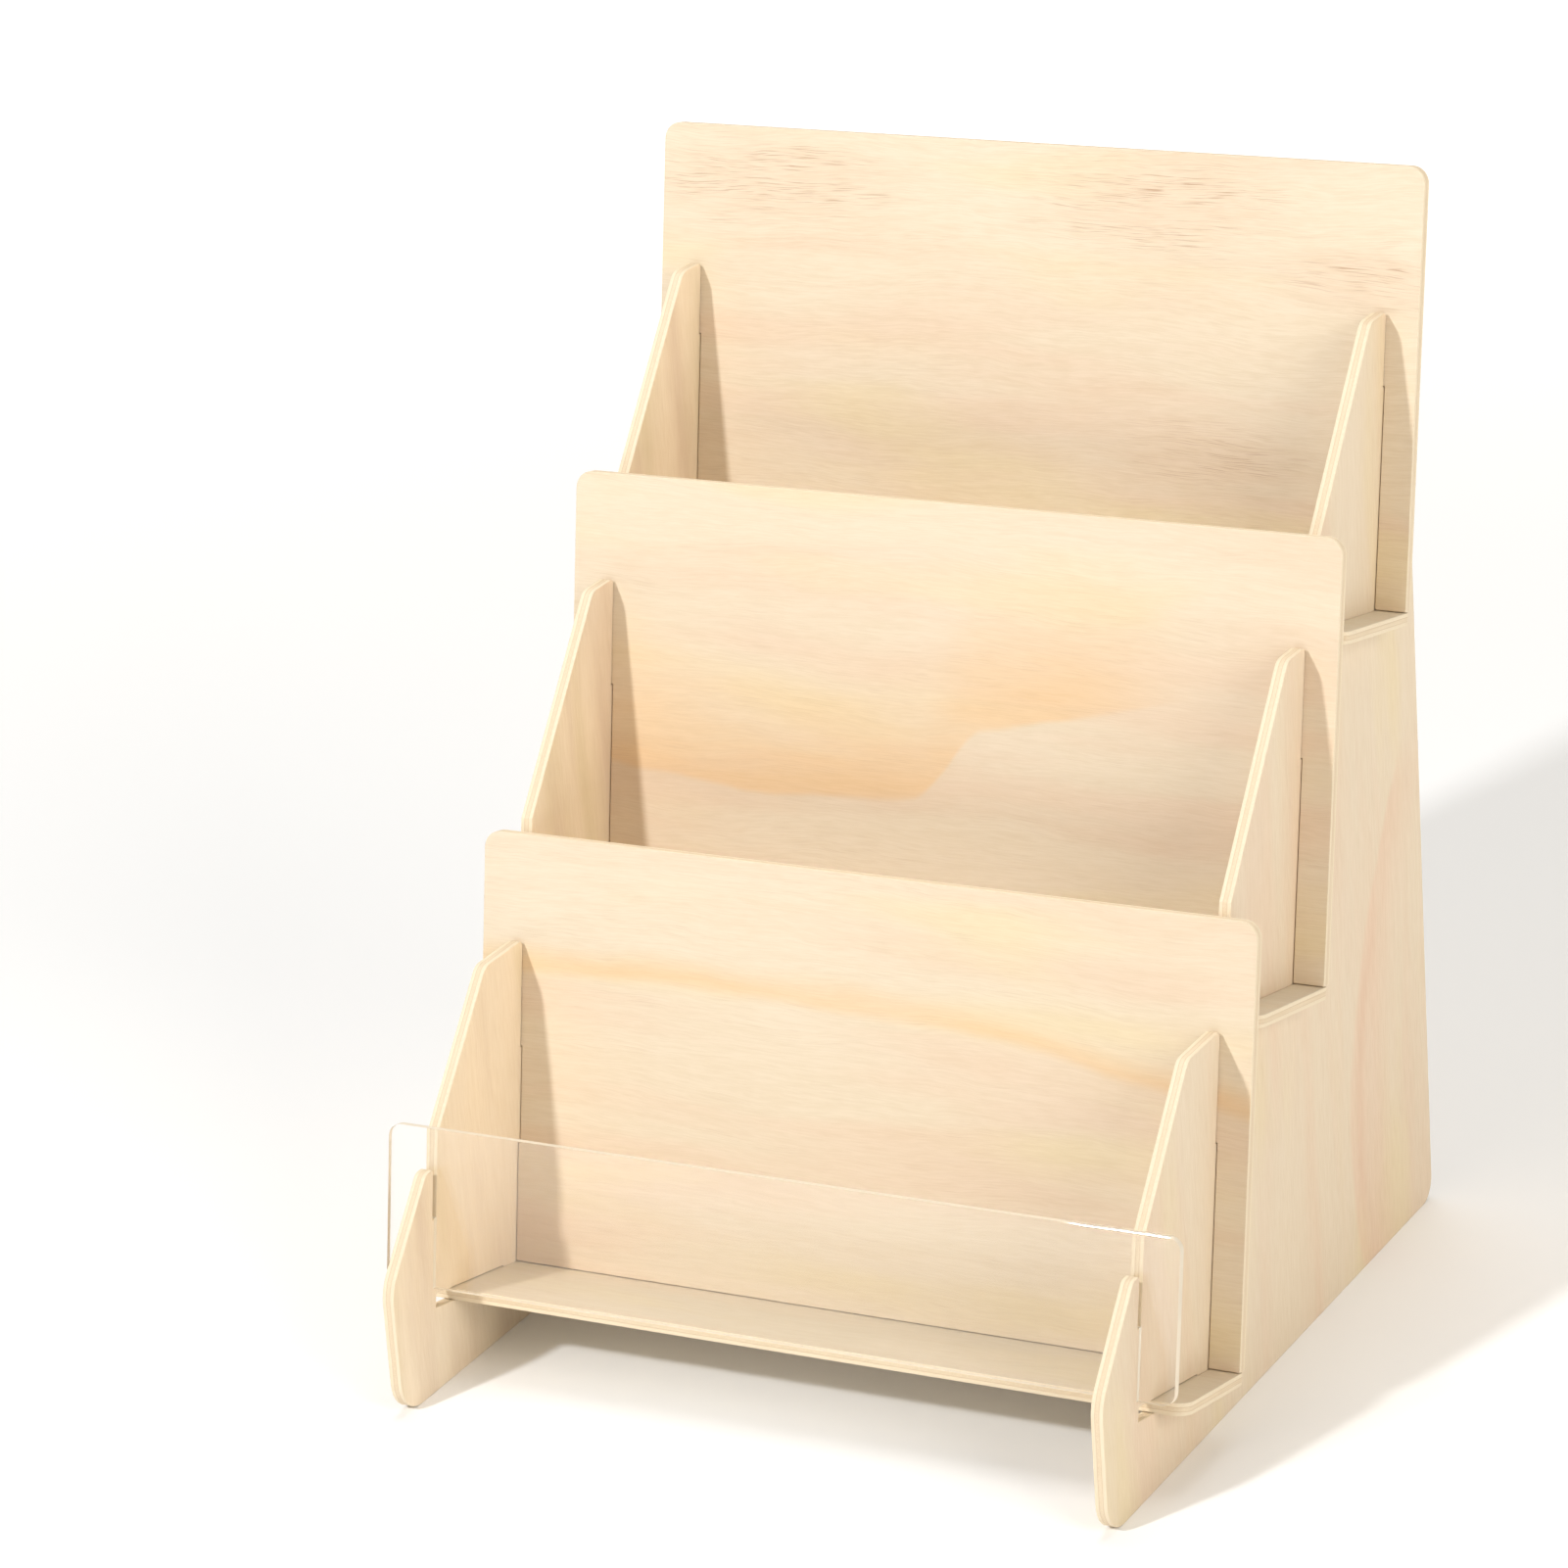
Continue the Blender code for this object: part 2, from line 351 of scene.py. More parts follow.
@dataclass(frozen=True)
class Growth:
    """A warm growth band in a face veneer, crisp on one side and soft on the other.

    Attributes:
        height: Where its crisp edge runs at the board's middle, in v.
        drift: Rise of that edge, in v for each millimetre of u.
        crisp: Over what width the crisp side ends.
        soft: Over what width the other side fades.
        strength: How far it takes the veneer to its colour.
        colour: Its own colour.
        curve: How the edge bows, in v for each square millimetre of u.
        bend_at: Where along u the edge steps.
        bend_rise: How far it steps there.
        bend_run: Over what length it steps.
        wave: Height of the edge's slow waves.
        wave_length: Length of those waves.
        start: Where along u the band begins to fade in.
        end: Where along u it has faded out.
        fade: Over what length its ends fade.
        side: The face it shows on, 1 towards w and -1 away from it.
        clouds: Size along u, v and w of the clouds that make it uneven.
        uneven: How the clouds become more or less of the band.
    """

    height: float
    drift: float
    crisp: float
    soft: float
    strength: float
    colour: Colour = (0.800, 0.530, 0.270)
    curve: float = 0.0
    bend_at: float = 0.0
    bend_rise: float = 0.0
    bend_run: float = 20.0
    wave: float = 1.5
    wave_length: float = 70.0
    start: float = -400.0
    end: float = 400.0
    fade: float = 30.0
    side: float = 1.0
    clouds: Triple = (60.0, 9.0, 30.0)
    uneven: Ramp = (0.1, 0.8, 0.65, 1.15)

    def mask(self, chart: Chart, place: bpy.types.NodeSocket, shift: Triple) -> bpy.types.NodeSocket:
        """How strongly the band shows at a point.

        Args:
            chart: The material's tree.
            place: Millimetres in the board's axes.
            shift: Sets its waves apart from other bands'.

        Returns:
            A share from 0 to its strength.
        """
        split = chart.add("ShaderNodeSeparateXYZ", {0: place}).outputs
        along, across = split[0], split[1]
        half = self.bend_run / 2
        slope = chart.math("MULTIPLY_ADD", along, self.curve, self.drift)
        edge = chart.math("MULTIPLY_ADD", along, slope, self.height)
        bend = chart.step(along, self.bend_at - half, self.bend_at + half, 0.0, self.bend_rise)
        edge = chart.math("ADD", edge, bend)
        lengths = (self.wave_length, 4 * self.wave_length, BOARD_DEEP)
        wobble = chart.noise(place, lengths, shift, detail=1.0)
        wobble = chart.math("MULTIPLY_ADD", wobble, 4 * self.wave, -2 * self.wave)
        edge = chart.math("ADD", edge, wobble)
        beyond = chart.math("SUBTRACT", across, edge)
        inside = chart.step(beyond, -self.crisp, self.crisp)
        fading = chart.step(beyond, 0.0, self.soft, 1.0, 0.0)
        share = chart.math("MULTIPLY", inside, fading)
        outward = chart.math("MULTIPLY", split[2], self.side)
        share = chart.math("MULTIPLY", share, chart.math("GREATER_THAN", outward, 0.0))
        share = chart.math("MULTIPLY", share, chart.step(along, self.start, self.start + self.fade))
        leaving = chart.step(along, self.end - self.fade, self.end, 1.0, 0.0)
        share = chart.math("MULTIPLY", share, leaving)
        cloud = chart.noise(place, self.clouds, shift, detail=3.0)
        share = chart.math("MULTIPLY", share, chart.step(cloud, *self.uneven))
        return chart.math("MULTIPLY", share, self.strength, clamp=True)


@dataclass(frozen=True)
class PoreZone:
    """A part of a face where the short dark pores lie thick.

    Attributes:
        middle: Its middle, in u and v.
        reach: How far it goes from there, in u and v.
        strength: How much darker its pores are.
        core: The share of its reach within which it is at full strength.
    """

    middle: tuple[float, float]
    reach: tuple[float, float]
    strength: float
    core: float = 0.2

    def mask(self, chart: Chart, place: bpy.types.NodeSocket) -> bpy.types.NodeSocket:
        """How strongly the zone shows at a point.

        Args:
            chart: The material's tree.
            place: Millimetres in the board's axes.

        Returns:
            A share from 0 to its strength.
        """
        lengths = (*self.reach, ALL_THROUGH)
        shift = (-self.middle[0] / self.reach[0], -self.middle[1] / self.reach[1], 0.0)
        from_middle = chart.scaled(place, lengths, shift)
        distance = chart.add("ShaderNodeVectorMath", {0: from_middle}, operation="LENGTH").outputs[1]
        return chart.step(distance, self.core, 1.0, self.strength, 0.0)


@dataclass(frozen=True)
class FaceVeneer:
    """The pale sanded face of the plywood.

    Attributes:
        cream: The commonest tone.
        rose: The pinkish tone of its slow zones.
        straw: The yellowish tone of its slow zones.
        pore: Tone of its pores.
        fibre: How strongly the fine fibres show.
        pores: How strongly the scattered pores show.
        wander: How far the grain swings from a straight line, in millimetres.
        growth: Its warm growth bands.
        zones: Where its pores lie thick.
        sheen: How rough it is in the hollows and on the fibres.
        relief: Strength and height of its grain, the height in metres.
        gloss: Its specular level.
        figure: The layers that it is drawn from.
    """

    cream: Colour = (0.768, 0.646, 0.486)
    rose: Colour = (0.762, 0.603, 0.446)
    straw: Colour = (0.775, 0.645, 0.430)
    pore: Colour = (0.480, 0.300, 0.190)
    fibre: float = 0.034
    pores: float = 0.13
    wander: float = 16.0
    growth: tuple[Growth, ...] = ()
    zones: tuple[PoreZone, ...] = ()
    sheen: Ramp = (0.1, 0.7, 0.70, 0.55)
    relief: tuple[float, float] = (0.22, 0.12 * MM)
    gloss: float = 0.32
    figure: VeneerFigure = VeneerFigure()

    def colour(self, chart: Chart, place: bpy.types.NodeSocket,
               board: BoardPlace) -> tuple[bpy.types.NodeSocket, bpy.types.NodeSocket]:
        """Draw the veneer.

        Args:
            chart: The material's tree.
            place: Millimetres in the board's axes.
            board: The board's place and seed.

        Returns:
            Its colour, and the height of its grain.
        """
        figure = self.figure
        split = chart.add("ShaderNodeSeparateXYZ", {0: place}).outputs
        swing = figure.swing.draw(chart, place, board)
        ripple = figure.ripple.draw(chart, place, board)
        across = chart.math("MULTIPLY_ADD", swing, self.wander, split[1])
        across = chart.math("MULTIPLY_ADD", ripple, figure.ripple_reach, across)
        flow = chart.add("ShaderNodeCombineXYZ", {0: split[0], 1: across, 2: split[2]}).outputs[0]

        rosy = chart.step(figure.rosy.draw(chart, flow, board), *figure.rosy_ramp)
        tone = chart.mix(rosy, self.cream, self.rose)
        strawy = chart.step(figure.strawy.draw(chart, flow, board), *figure.strawy_ramp)
        tone = chart.mix(strawy, tone, self.straw)
        bleached = chart.step(figure.bleached.draw(chart, flow, board), *figure.bleached_ramp)
        tone = chart.mix(bleached, tone, figure.pale)

        for spot in self.zones:
            tone = chart.mix(spot.mask(chart, place), tone, self.rose)
        for number, band in enumerate(self.growth, figure.band_number):
            share = band.mask(chart, flow, board.shift(number))
            tone = chart.mix(share, tone, band.colour)

        broad = figure.broad.draw(chart, flow, board)
        fine = figure.fine.draw(chart, flow, board)
        fine = chart.math("MULTIPLY", fine, 1.0 - figure.broad_share)
        fibres = chart.math("MULTIPLY_ADD", broad, figure.broad_share, fine)
        darkest, lightest = 1.0 - self.fibre * figure.dark_fibre, 1.0 + self.fibre
        shade = chart.step(fibres, *figure.fibre_range, darkest, lightest)
        red, blue = (chart.math("POWER", shade, power) for power in figure.tints)
        shades = chart.add("ShaderNodeCombineXYZ", {0: red, 1: shade, 2: blue}).outputs[0]
        tone = chart.mix(1.0, tone, shades, "MULTIPLY")

        dash = chart.step(figure.dash.draw(chart, flow, board), *figure.dash_ramp)
        clump = figure.clump.draw(chart, flow, board)
        between, within = (self.pores * share for share in figure.clump_shares)
        thick = chart.step(clump, *figure.clump_range, between, within)
        for spot in self.zones:
            gathered = chart.step(clump, *figure.zone_ramp)
            wide = chart.math("MULTIPLY", spot.mask(chart, place), gathered)
            thick = chart.math("ADD", thick, wide)
        marks = chart.math("MULTIPLY", dash, thick, clamp=True)
        tone = chart.mix(marks, tone, self.pore)

        height = chart.math("MULTIPLY_ADD", dash, figure.pore_height, fibres)
        return tone, height

    def dress(self, material: bpy.types.Material, board: BoardPlace) -> None:
        """Draw the veneer in a material.

        Args:
            material: An empty material with a Principled shader.
            board: The board's place and seed.
        """
        chart = Chart(material.node_tree)
        shader = material.node_tree.nodes["Principled BSDF"]
        tone, height = self.colour(chart, board.axes(chart), board)
        chart.feed(shader.inputs["Base Color"], tone)
        chart.feed(shader.inputs["Roughness"], chart.step(height, *self.sheen))
        chart.feed(shader.inputs["Normal"], chart.bump(height, *self.relief))
        shader.inputs["Specular IOR Level"].default_value = self.gloss


@dataclass(frozen=True)
class SawnEdge:
    """The cut edge of the plywood, with its plies and glue lines.

    Attributes:
        outer: Tone of the two outer plies.
        core: Tone of the core ply, whose fibres run the other way.
        glue: Tone of the glue lines.
        thickness: The board's thickness, in millimetres.
        line: Half the width of a glue line, in millimetres.
        blend: How far from a joint its tones blend, in those half widths.
        line_end: Where a glue line has faded out, in those half widths.
        line_height: What a glue line adds to the height of the fibres.
        waver: Layer that makes the plies uneven.
        waver_reach: How far it moves them, in millimetres.
        along: Fibres of the outer plies.
        along_ramp: How they become the outer tone.
        crossing: Fibres of the core.
        crossing_ramp: How they become the core tone.
        core_evenness: How much of the core's fibres is evened out.
        slow: Slow changes along the edge.
        pale_ramp: How they make it paler.
        line_ramp: How they make the glue lines stronger.
        sheen: How rough it is.
        relief: Strength and height of its grain, the height in metres.
        gloss: Its specular level.
    """

    outer: Colour = (0.850, 0.735, 0.555)
    core: Colour = (0.800, 0.665, 0.480)
    glue: Colour = (0.620, 0.455, 0.290)
    thickness: float = 4.4
    line: float = 0.10
    blend: float = 0.4
    line_end: float = 1.5
    line_height: float = -0.8
    waver: Layer = Layer(11.0, (9.0, 9.0, 30.0))
    waver_reach: float = 0.22
    along: Layer = Layer(12.0, (24.0, 0.50, 0.30), 3.0, 0.6)
    along_ramp: Ramp = (0.30, 0.72)
    crossing: Layer = Layer(13.0, (0.50, 24.0, 0.30), 3.0, 0.6)
    crossing_ramp: Ramp = (0.30, 0.75)
    core_evenness: float = 0.55
    slow: Layer = Layer(14.0, (30.0, 30.0, 4.0))
    pale_ramp: Ramp = (0.35, 0.75, 0.0, 0.35)
    line_ramp: Ramp = (0.25, 0.6, 0.35, 0.8)
    sheen: Ramp = (0.2, 0.8, 0.78, 0.66)
    relief: tuple[float, float] = (0.25, 0.15 * MM)
    gloss: float = 0.25

    def dress(self, material: bpy.types.Material, board: BoardPlace) -> None:
        """Draw the edge in a material.

        Args:
            material: An empty material with a Principled shader.
            board: The board's place and seed.
        """
        chart = Chart(material.node_tree)
        shader = material.node_tree.nodes["Principled BSDF"]
        place = board.axes(chart)
        split = chart.add("ShaderNodeSeparateXYZ", {0: place}).outputs
        waver = self.waver.draw(chart, place, board)
        depth = chart.math("MULTIPLY_ADD", waver, self.waver_reach, split[2])
        depth = chart.math("ABSOLUTE", chart.math("SUBTRACT", depth, self.waver_reach / 2))
        joint = self.thickness / (2 * PLIES)
        blend = self.blend * self.line
        from_joint = chart.math("ABSOLUTE", chart.math("SUBTRACT", depth, joint))
        in_core = chart.step(depth, joint - blend, joint + blend, 1.0, 0.0)
        along = self.along.draw(chart, place, board)
        crossing = self.crossing.draw(chart, place, board)
        slow = self.slow.draw(chart, place, board)
        outer = chart.mix(chart.step(along, *self.along_ramp), self.core, self.outer)
        core = chart.mix(chart.step(crossing, *self.crossing_ramp), self.glue, self.core)
        core = chart.mix(self.core_evenness, core, self.core)
        tone = chart.mix(in_core, outer, core)
        tone = chart.mix(chart.step(slow, *self.pale_ramp), tone, self.outer)
        line = chart.step(from_joint, blend, self.line_end * self.line, 1.0, 0.0)
        line = chart.math("MULTIPLY", line, chart.step(slow, *self.line_ramp))
        tone = chart.mix(line, tone, self.glue)
        chart.feed(shader.inputs["Base Color"], tone)
        chart.feed(shader.inputs["Roughness"], chart.step(along, *self.sheen))
        fibres = chart.math("ADD", along, crossing)
        grain = chart.math("MULTIPLY_ADD", line, self.line_height, fibres)
        chart.feed(shader.inputs["Normal"], chart.bump(grain, *self.relief))
        shader.inputs["Specular IOR Level"].default_value = self.gloss


def let_lamps_through(chart: Chart, shader: bpy.types.Node, passed: Colour) -> None:
    """Let light fall through a clear sheet, so that it throws no dark shadow.

    Args:
        chart: The material's tree.
        shader: The clear sheet's own shader.
        passed: The colour of the light that goes through one of its faces.
    """
    rays = chart.add("ShaderNodeLightPath").outputs
    open_air = chart.add("ShaderNodeBsdfTransparent", {"Color": passed}).outputs[0]
    seen = shader.outputs[0]
    for kind in ("Is Diffuse Ray", "Is Shadow Ray"):
        seen = chart.add("ShaderNodeMixShader", {0: rays[kind], 1: seen, 2: open_air}).outputs[0]
    leave = next(node for node in chart.tree.nodes if node.type == "OUTPUT_MATERIAL")
    chart.feed(leave.inputs["Surface"], seen)


@dataclass(frozen=True)
class ClearAcrylic:
    """The clear sheet of the front lip.

    Attributes:
        tint: What each face does to what is seen through it.
        passed: What each face does to the light that goes on to the boards.
        index: Its refractive index.
        wipe: Layer of faint wiping marks.
        haze: How that layer becomes roughness.
    """

    tint: Colour = (0.974, 0.962, 0.940)
    passed: Colour = (0.955, 0.945, 0.925)
    index: float = 1.49
    wipe: Layer = Layer(15.0, (55.0, 30.0, 50.0), 3.0)
    haze: Ramp = (0.3, 0.8, 0.0, 0.02)

    def dress(self, material: bpy.types.Material, board: BoardPlace) -> None:
        """Draw the clear sheet in a material.

        Args:
            material: An empty material with a Principled shader.
            board: The sheet's place and seed.
        """
        chart = Chart(material.node_tree)
        shader = material.node_tree.nodes["Principled BSDF"]
        wipe = self.wipe.draw(chart, board.axes(chart), board)
        shader.inputs["Base Color"].default_value = (*self.tint, 1.0)
        shader.inputs["IOR"].default_value = self.index
        shader.inputs["Transmission Weight"].default_value = 1.0
        chart.feed(shader.inputs["Roughness"], chart.step(wipe, *self.haze))
        let_lamps_through(chart, shader, self.passed)


@dataclass(frozen=True)
class PolishedCut:
    """The cut edge of the clear sheet, which gathers light and shows as a pale line.

    Attributes:
        glow: Its tone.
        clear: How much of what is behind it still shows.
        passed: What it does to the light that goes on to the boards.
        index: Its refractive index.
        marks: Layer of faint saw marks.
        haze: How that layer becomes roughness.
        gloss: Its specular level.
    """

    glow: Colour = (0.900, 0.800, 0.650)
    clear: float = 0.20
    passed: Colour = (0.900, 0.890, 0.870)
    index: float = 1.49
    marks: Layer = Layer(16.0, (9.0, 9.0, 12.0))
    haze: Ramp = (0.2, 0.8, 0.40, 0.55)
    gloss: float = 0.15

    def dress(self, material: bpy.types.Material, board: BoardPlace) -> None:
        """Draw the cut edge in a material.

        Args:
            material: An empty material with a Principled shader.
            board: The sheet's place and seed.
        """
        chart = Chart(material.node_tree)
        shader = material.node_tree.nodes["Principled BSDF"]
        marks = self.marks.draw(chart, board.axes(chart), board)
        shader.inputs["Base Color"].default_value = (*self.glow, 1.0)
        shader.inputs["IOR"].default_value = self.index
        shader.inputs["Transmission Weight"].default_value = self.clear
        chart.feed(shader.inputs["Roughness"], chart.step(marks, *self.haze))
        shader.inputs["Specular IOR Level"].default_value = self.gloss
        let_lamps_through(chart, shader, self.passed)


Finish = Union[FaceVeneer, SawnEdge, ClearAcrylic, PolishedCut]


def dressed(name: str, finish: Finish, board: BoardPlace) -> bpy.types.Material:
    """A new material with one of the finishes.

    Args:
        name: The material's name.
        finish: What it shows.
        board: The place and seed of the board that takes it.

    Returns:
        The material.
    """
    material = bpy.data.materials.new(name)
    material.use_nodes = True
    finish.dress(material, board)
    return material


# ---- sheets ---------------------------------------------------------------------------------


@dataclass
class LayUp:
    """The node tree that lays a board up from its outline, ply by ply.

    The outline comes in as the board's lower face. Each ply is extruded from it in turn, and
    between two plies the wall dips into a fine groove, where the glue line lies.

    Attributes:
        groove: Half the width of a glue line's groove, in metres.
        dip: Depth of that groove, in metres.
        weld: Points nearer than this become one, in metres.
        reach: How near a joint its ring of points lies, in plies.
        tree: The tree, once it is drawn.
    """

    groove: float = 0.14 * MM
    dip: float = 0.04 * MM
    weld: float = 0.01 * MM
    reach: float = 0.02
    tree: Optional[bpy.types.NodeTree] = field(default=None, repr=False)

    def sockets(self) -> dict[str, str]:
        """Identifier of each named input of the tree."""
        items = self.tree.interface.items_tree
        return {i.name: i.identifier for i in items if i.in_out == "INPUT"}

    def build(self) -> None:
        """Draw the tree."""
        self.tree = bpy.data.node_groups.new("ply_lay_up", "GeometryNodeTree")
        face = self.tree.interface
        kinds = (("Outline", "Geometry"), ("Direction", "Vector"), ("Thickness", "Float"),
                 ("Plies", "Int"), ("Groove", "Float"), ("Dip", "Float"),
                 ("Face finish", "Material"), ("Edge finish", "Material"))
        for name, kind in kinds:
            face.new_socket(name, in_out="INPUT", socket_type="NodeSocket" + kind)
        face.new_socket("Board", in_out="OUTPUT", socket_type="NodeSocketGeometry")
        chart = Chart(self.tree)
        given = chart.add("NodeGroupInput").outputs

        ply = chart.math("DIVIDE", given["Thickness"], given["Plies"])
        joints = chart.math("SUBTRACT", given["Plies"], 1.0)
        has_joint = chart.math("GREATER_THAN", joints, 0.5)
        upper = chart.add("GeometryNodeFlipFaces", {0: given["Outline"]}).outputs[0]
        upper = self.marked(chart, upper, True)

        into = chart.add("GeometryNodeRepeatInput")
        out_of = chart.add("GeometryNodeRepeatOutput")
        into.pair_with_output(out_of)
        chart.feed(into.inputs["Iterations"], joints)
        chart.feed(into.inputs["Geometry"], upper)
        later = chart.math("GREATER_THAN", into.outputs["Iteration"], 0.5)
        trim = chart.math("MULTIPLY", chart.math("ADD", later, 1.0), given["Groove"])
        growing = self.raised(chart, into.outputs["Geometry"], given["Direction"],
                              chart.math("SUBTRACT", ply, trim))
        growing = self.raised(chart, growing, given["Direction"], given["Groove"])
        growing = self.raised(chart, growing, given["Direction"], given["Groove"])
        chart.feed(out_of.inputs["Geometry"], growing)
        last = chart.math("SUBTRACT", ply, chart.math("MULTIPLY", has_joint, given["Groove"]))
        upper = self.raised(chart, out_of.outputs["Geometry"], given["Direction"], last)

        whole = chart.add("GeometryNodeJoinGeometry")
        chart.feed(whole.inputs[0], upper)
        chart.feed(whole.inputs[0], self.marked(chart, given["Outline"], True))
        inputs = {"Geometry": whole.outputs[0], "Distance": self.weld}
        shell = chart.add("GeometryNodeMergeByDistance", inputs).outputs[0]
        shell = self.grooved(chart, shell, given, ply)

        flat = self.top(chart)
        wall = chart.add("FunctionNodeBooleanMath", {0: flat}, operation="NOT").outputs[0]
        plain = chart.add("GeometryNodeRealizeInstances", {0: shell}).outputs[0]
        for chosen, finish in ((flat, "Face finish"), (wall, "Edge finish")):
            inputs = {"Geometry": plain, "Selection": chosen, "Material": given[finish]}
            plain = chart.add("GeometryNodeSetMaterial", inputs).outputs[0]
        leave = chart.add("NodeGroupOutput")
        chart.feed(leave.inputs[0], plain)

    def top(self, chart: Chart) -> bpy.types.NodeSocket:
        """The faces marked as the sheet's flat faces."""
        node = chart.add("GeometryNodeInputNamedAttribute", {"Name": "flat"}, data_type="BOOLEAN")
        return next(o for o in node.outputs if o.name == "Attribute" and o.enabled)

    def marked(self, chart: Chart, geometry: bpy.types.NodeSocket, value: Feed) -> bpy.types.NodeSocket:
        """Mark faces as flat or as wall.

        Args:
            chart: The tree.
            geometry: The sheet so far.
            value: Which faces are flat.

        Returns:
            The marked sheet.
        """
        node = chart.add("GeometryNodeStoreNamedAttribute", {"Geometry": geometry, "Name": "flat"},
                         data_type="BOOLEAN", domain="FACE")
        chart.feed(next(i for i in node.inputs if i.name == "Value" and i.enabled), value)
        return node.outputs[0]

    def raised(self, chart: Chart, geometry: bpy.types.NodeSocket, direction: Feed,
               rise: Feed) -> bpy.types.NodeSocket:
        """Lift the flat face and leave a wall behind it.

        Args:
            chart: The tree.
            geometry: The sheet so far.
            direction: Where to.
            rise: How far.

        Returns:
            The thicker sheet.
        """
        node = chart.add("GeometryNodeExtrudeMesh", {"Mesh": geometry, "Selection": self.top(chart),
                                                     "Offset": direction, "Offset Scale": rise,
                                                     "Individual": False}, mode="FACES")
        return self.marked(chart, node.outputs["Mesh"], node.outputs["Top"])

    def grooved(self, chart: Chart, shell: bpy.types.NodeSocket, given: bpy.types.NodeOutputs,
                ply: bpy.types.NodeSocket) -> bpy.types.NodeSocket:
        """Sink the ring of points between two plies into the wall.

        Args:
            chart: The tree.
            shell: The closed sheet.
            given: The tree's inputs.
            ply: Thickness of one ply.

        Returns:
            The grooved sheet.
        """
        spot = chart.add("GeometryNodeInputPosition").outputs[0]
        height = chart.add("ShaderNodeVectorMath", {0: spot, 1: given["Direction"]},
                           operation="DOT_PRODUCT").outputs["Value"]
        spread = chart.add("GeometryNodeAttributeStatistic", {"Geometry": shell, "Attribute": height},
                           data_type="FLOAT", domain="POINT")
        count = chart.math("DIVIDE", chart.math("SUBTRACT", height, spread.outputs["Min"]), ply)
        whole = chart.math("ROUND", count)
        gap = chart.math("ABSOLUTE", chart.math("SUBTRACT", count, whole))
        near = chart.math("LESS_THAN", gap, self.reach)
        above = chart.math("GREATER_THAN", whole, 0.5)
        below = chart.math("LESS_THAN", whole, chart.math("SUBTRACT", given["Plies"], 0.5))
        chosen = chart.math("MULTIPLY", near, chart.math("MULTIPLY", above, below))
        outward = chart.add("GeometryNodeInputNormal").outputs[0]
        sink = chart.math("MULTIPLY", given["Dip"], -1.0)
        offset = chart.add("ShaderNodeVectorMath", {0: outward, "Scale": sink},
                           operation="SCALE").outputs[0]
        inputs = {"Geometry": shell, "Selection": chosen, "Offset": offset}
        return chart.add("GeometryNodeSetPosition", inputs).outputs[0]


